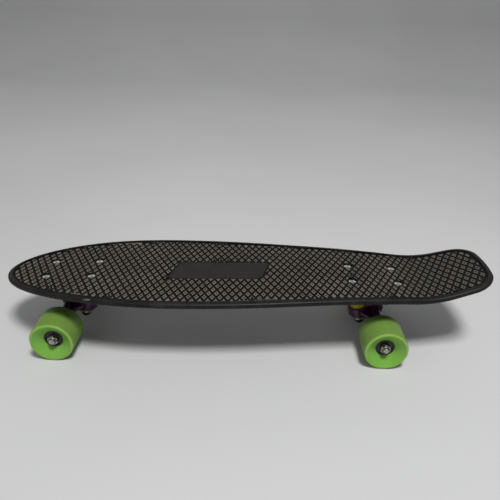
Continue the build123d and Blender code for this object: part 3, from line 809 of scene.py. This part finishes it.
def turned_bushing(near, far, radius_near, radius_far, belly):
    """A round bushing about Z between two heights, with rounded edges, a slight belly and a bore."""
    shape = bmesh.new()
    run = 1 if far > near else -1
    round_near = near + run * bushing_edge
    round_far = far - run * bushing_edge
    outline = [(bushing_bore, near), (radius_near - bushing_edge, near)]
    edge_turns = [math.radians(90 / bushing_edge_steps * i) for i in range(bushing_edge_steps + 1)]
    for turn in edge_turns[1:]:
        drawn_in = bushing_edge * (1 - math.sin(turn))
        outline.append((radius_near - drawn_in, round_near - run * bushing_edge * math.cos(turn)))
    for i in range(1, bushing_side_steps):
        share = i / bushing_side_steps
        radius = radius_near + (radius_far - radius_near) * share + belly * 4 * share * (1 - share)
        outline.append((radius, round_near + (round_far - round_near) * share))
    for turn in edge_turns:
        drawn_in = bushing_edge * (1 - math.cos(turn))
        outline.append((radius_far - drawn_in, round_far + run * bushing_edge * math.sin(turn)))
    outline.append((bushing_bore, far))
    points = [shape.verts.new((x, 0, z)) for x, z in outline]
    wire = [shape.edges.new(pair) for pair in zip(points, points[1:] + points[:1])]
    bmesh.ops.spin(
        shape,
        geom=points + wire,
        cent=(0, 0, 0),
        axis=(0, 0, 1),
        angle=2 * math.pi,
        steps=bushing_steps,
        use_merge=True,
    )
    bmesh.ops.remove_doubles(shape, verts=shape.verts, dist=same_point)
    bmesh.ops.recalc_face_normals(shape, faces=shape.faces)
    for face in shape.faces:
        face.smooth = True
    return shape


steer = {joint["name"]: joint for joint in frame["joints"]}
for end, inboard in (("front", 1), ("rear", -1)):
    ring = Vector(steer[f"{end}_steer"]["pos_m"])
    up = Vector((inboard * math.sin(kingpin_lean), 0, math.cos(kingpin_lean)))
    stand = Matrix.Translation(ring) @ Matrix.Rotation(inboard * kingpin_lean, 4, "Y")
    stack = {
        "boardside_bushing": (ring_seat, barrel_top, bushing_radius, bushing_radius, bushing_belly),
        "roadside_bushing": (-ring_seat, -cone_bottom, bushing_radius - bushing_belly, bushing_tip, 0.0),
    }
    for kind, (near, far, *radii) in stack.items():
        soft = turned_bushing(near, far, *radii)
        bmesh.ops.transform(soft, matrix=stand, verts=soft.verts)
        soft_piece = piece_of(f"{end}_soft_{kind}", soft, bushing_urethane)
        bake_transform(soft_piece)
        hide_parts(f"{end}_{kind}")

# Tyres
# Lime urethane poured round a hard core and turned on a lathe: a satin tread with fine turned lines and
# grey road dust, a painted highlight along the lip, and dished faces. Light goes a little way into it.
wheel_out = 0.0638
lip_highlight_band = (0.0258, 0.0268)
tread_band = (0.0283, 0.0293)
face_lines = 9000
tread_lines = 8000
lime_face = srgb(124, 182, 68)
lime_tread = srgb(114, 154, 60)
# Painted highlight: the paler colour of the ring along the lip.
lime_lip_highlight = srgb(172, 198, 92)
road_dust = srgb(128, 132, 92)
lime_glow = 0.3
lime_glow_depth = (0.004, 0.006, 0.002)


def lime_urethane(name, axle):
    """Wheel urethane, with its turned lines drawn round one axle."""
    material, shader, place = finish_of(name, 0.4)
    from_axle = place.make("VectorMath", {"operation": "SUBTRACT"}, {0: place, 1: axle})
    radius = from_axle.stretch(1, 0, 1).far((0, 0, 0))
    across = place.math("ABSOLUTE", from_axle.part("Y")) - wheel_out
    on_tread = radius.step(*tread_band)
    # Painted highlight: a thin paler ring along the lip, where its shoulder would catch the light.
    on_lip_highlight = radius.step(*lip_highlight_band) * (1 - on_tread)
    dust = place.noise(120, 5.0).step(0.38, 0.72)
    rings = place.math("SINE", radius * face_lines) * (1 - on_tread)
    lines = rings + place.math("SINE", across * tread_lines) * on_tread
    skin = on_tread.blend(lime_face, lime_tread)
    skin = (on_lip_highlight * 0.45).blend(skin, lime_lip_highlight)
    place.feed(shader, {
        "Base Color": (dust * (on_tread * 0.3 + 0.06)).blend(skin, road_dust),
        "Roughness": on_tread * 0.18 + dust * 0.12 + 0.34,
        "Normal": (lines * 0.3 + place.noise(700, 3.0)).dent(0.12, 0.0002),
    })
    shader.inputs["Subsurface Weight"].default_value = lime_glow
    shader.inputs["Subsurface Radius"].default_value = lime_glow_depth
    return material


for end in ends:
    axle_low, axle_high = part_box(f"{end}_axle")
    urethane = lime_urethane(f"{end}_lime_urethane", (axle_low + axle_high) / 2)
    dress(urethane, *[f"{end}_{side}_tyre" for side in sides])

# Cores, bearings and spacers
# Each wheel has a black nylon core with two ball bearings pressed into it: outer rings coloured dark, dark
# shields, nylon cages, bright balls and inner rings, and a steel spacer between them on the axle.
hub_finishes = {
    "core": ("black_core_nylon", srgb(18, 18, 18), srgb(30, 30, 29), 0.4, 0.0),
    # The outer rings are simply coloured dark.
    "outer_rings": ("dark_ring_steel", srgb(34, 32, 32), srgb(50, 48, 47), 0.32, 0.7),
    "shields": ("plum_bearing_shield", srgb(54, 38, 44), srgb(74, 56, 60), 0.36, 0.3),
    "cages": ("black_cage_nylon", srgb(26, 26, 27), srgb(40, 40, 40), 0.5, 0.0),
    "balls": ("polished_ball_steel", srgb(205, 205, 204), srgb(190, 190, 188), 0.08, 1.0),
    "inner_rings": ("ground_ring_steel", srgb(190, 189, 186), srgb(160, 158, 154), 0.2, 1.0),
    "spacer": ("turned_spacer_steel", srgb(176, 175, 172), srgb(150, 148, 143), 0.3, 1.0),
}
for part, (name, plain, marked, roughness, metallic) in hub_finishes.items():
    hub, hub_shader, hub_place = finish_of(name, roughness, metallic)
    hub_cloud = hub_place.noise(420, 4.0).step(0.35, 0.7)
    hub_place.feed(hub_shader, {
        "Base Color": hub_cloud.blend(plain, marked),
        "Roughness": hub_cloud * 0.15 + roughness * 0.8,
        "Normal": hub_place.noise(2400, 2.0).dent(0.1, 0.0001),
    })
    dress(hub, *[f"{end}_{side}_{part}" for end in ends for side in sides])
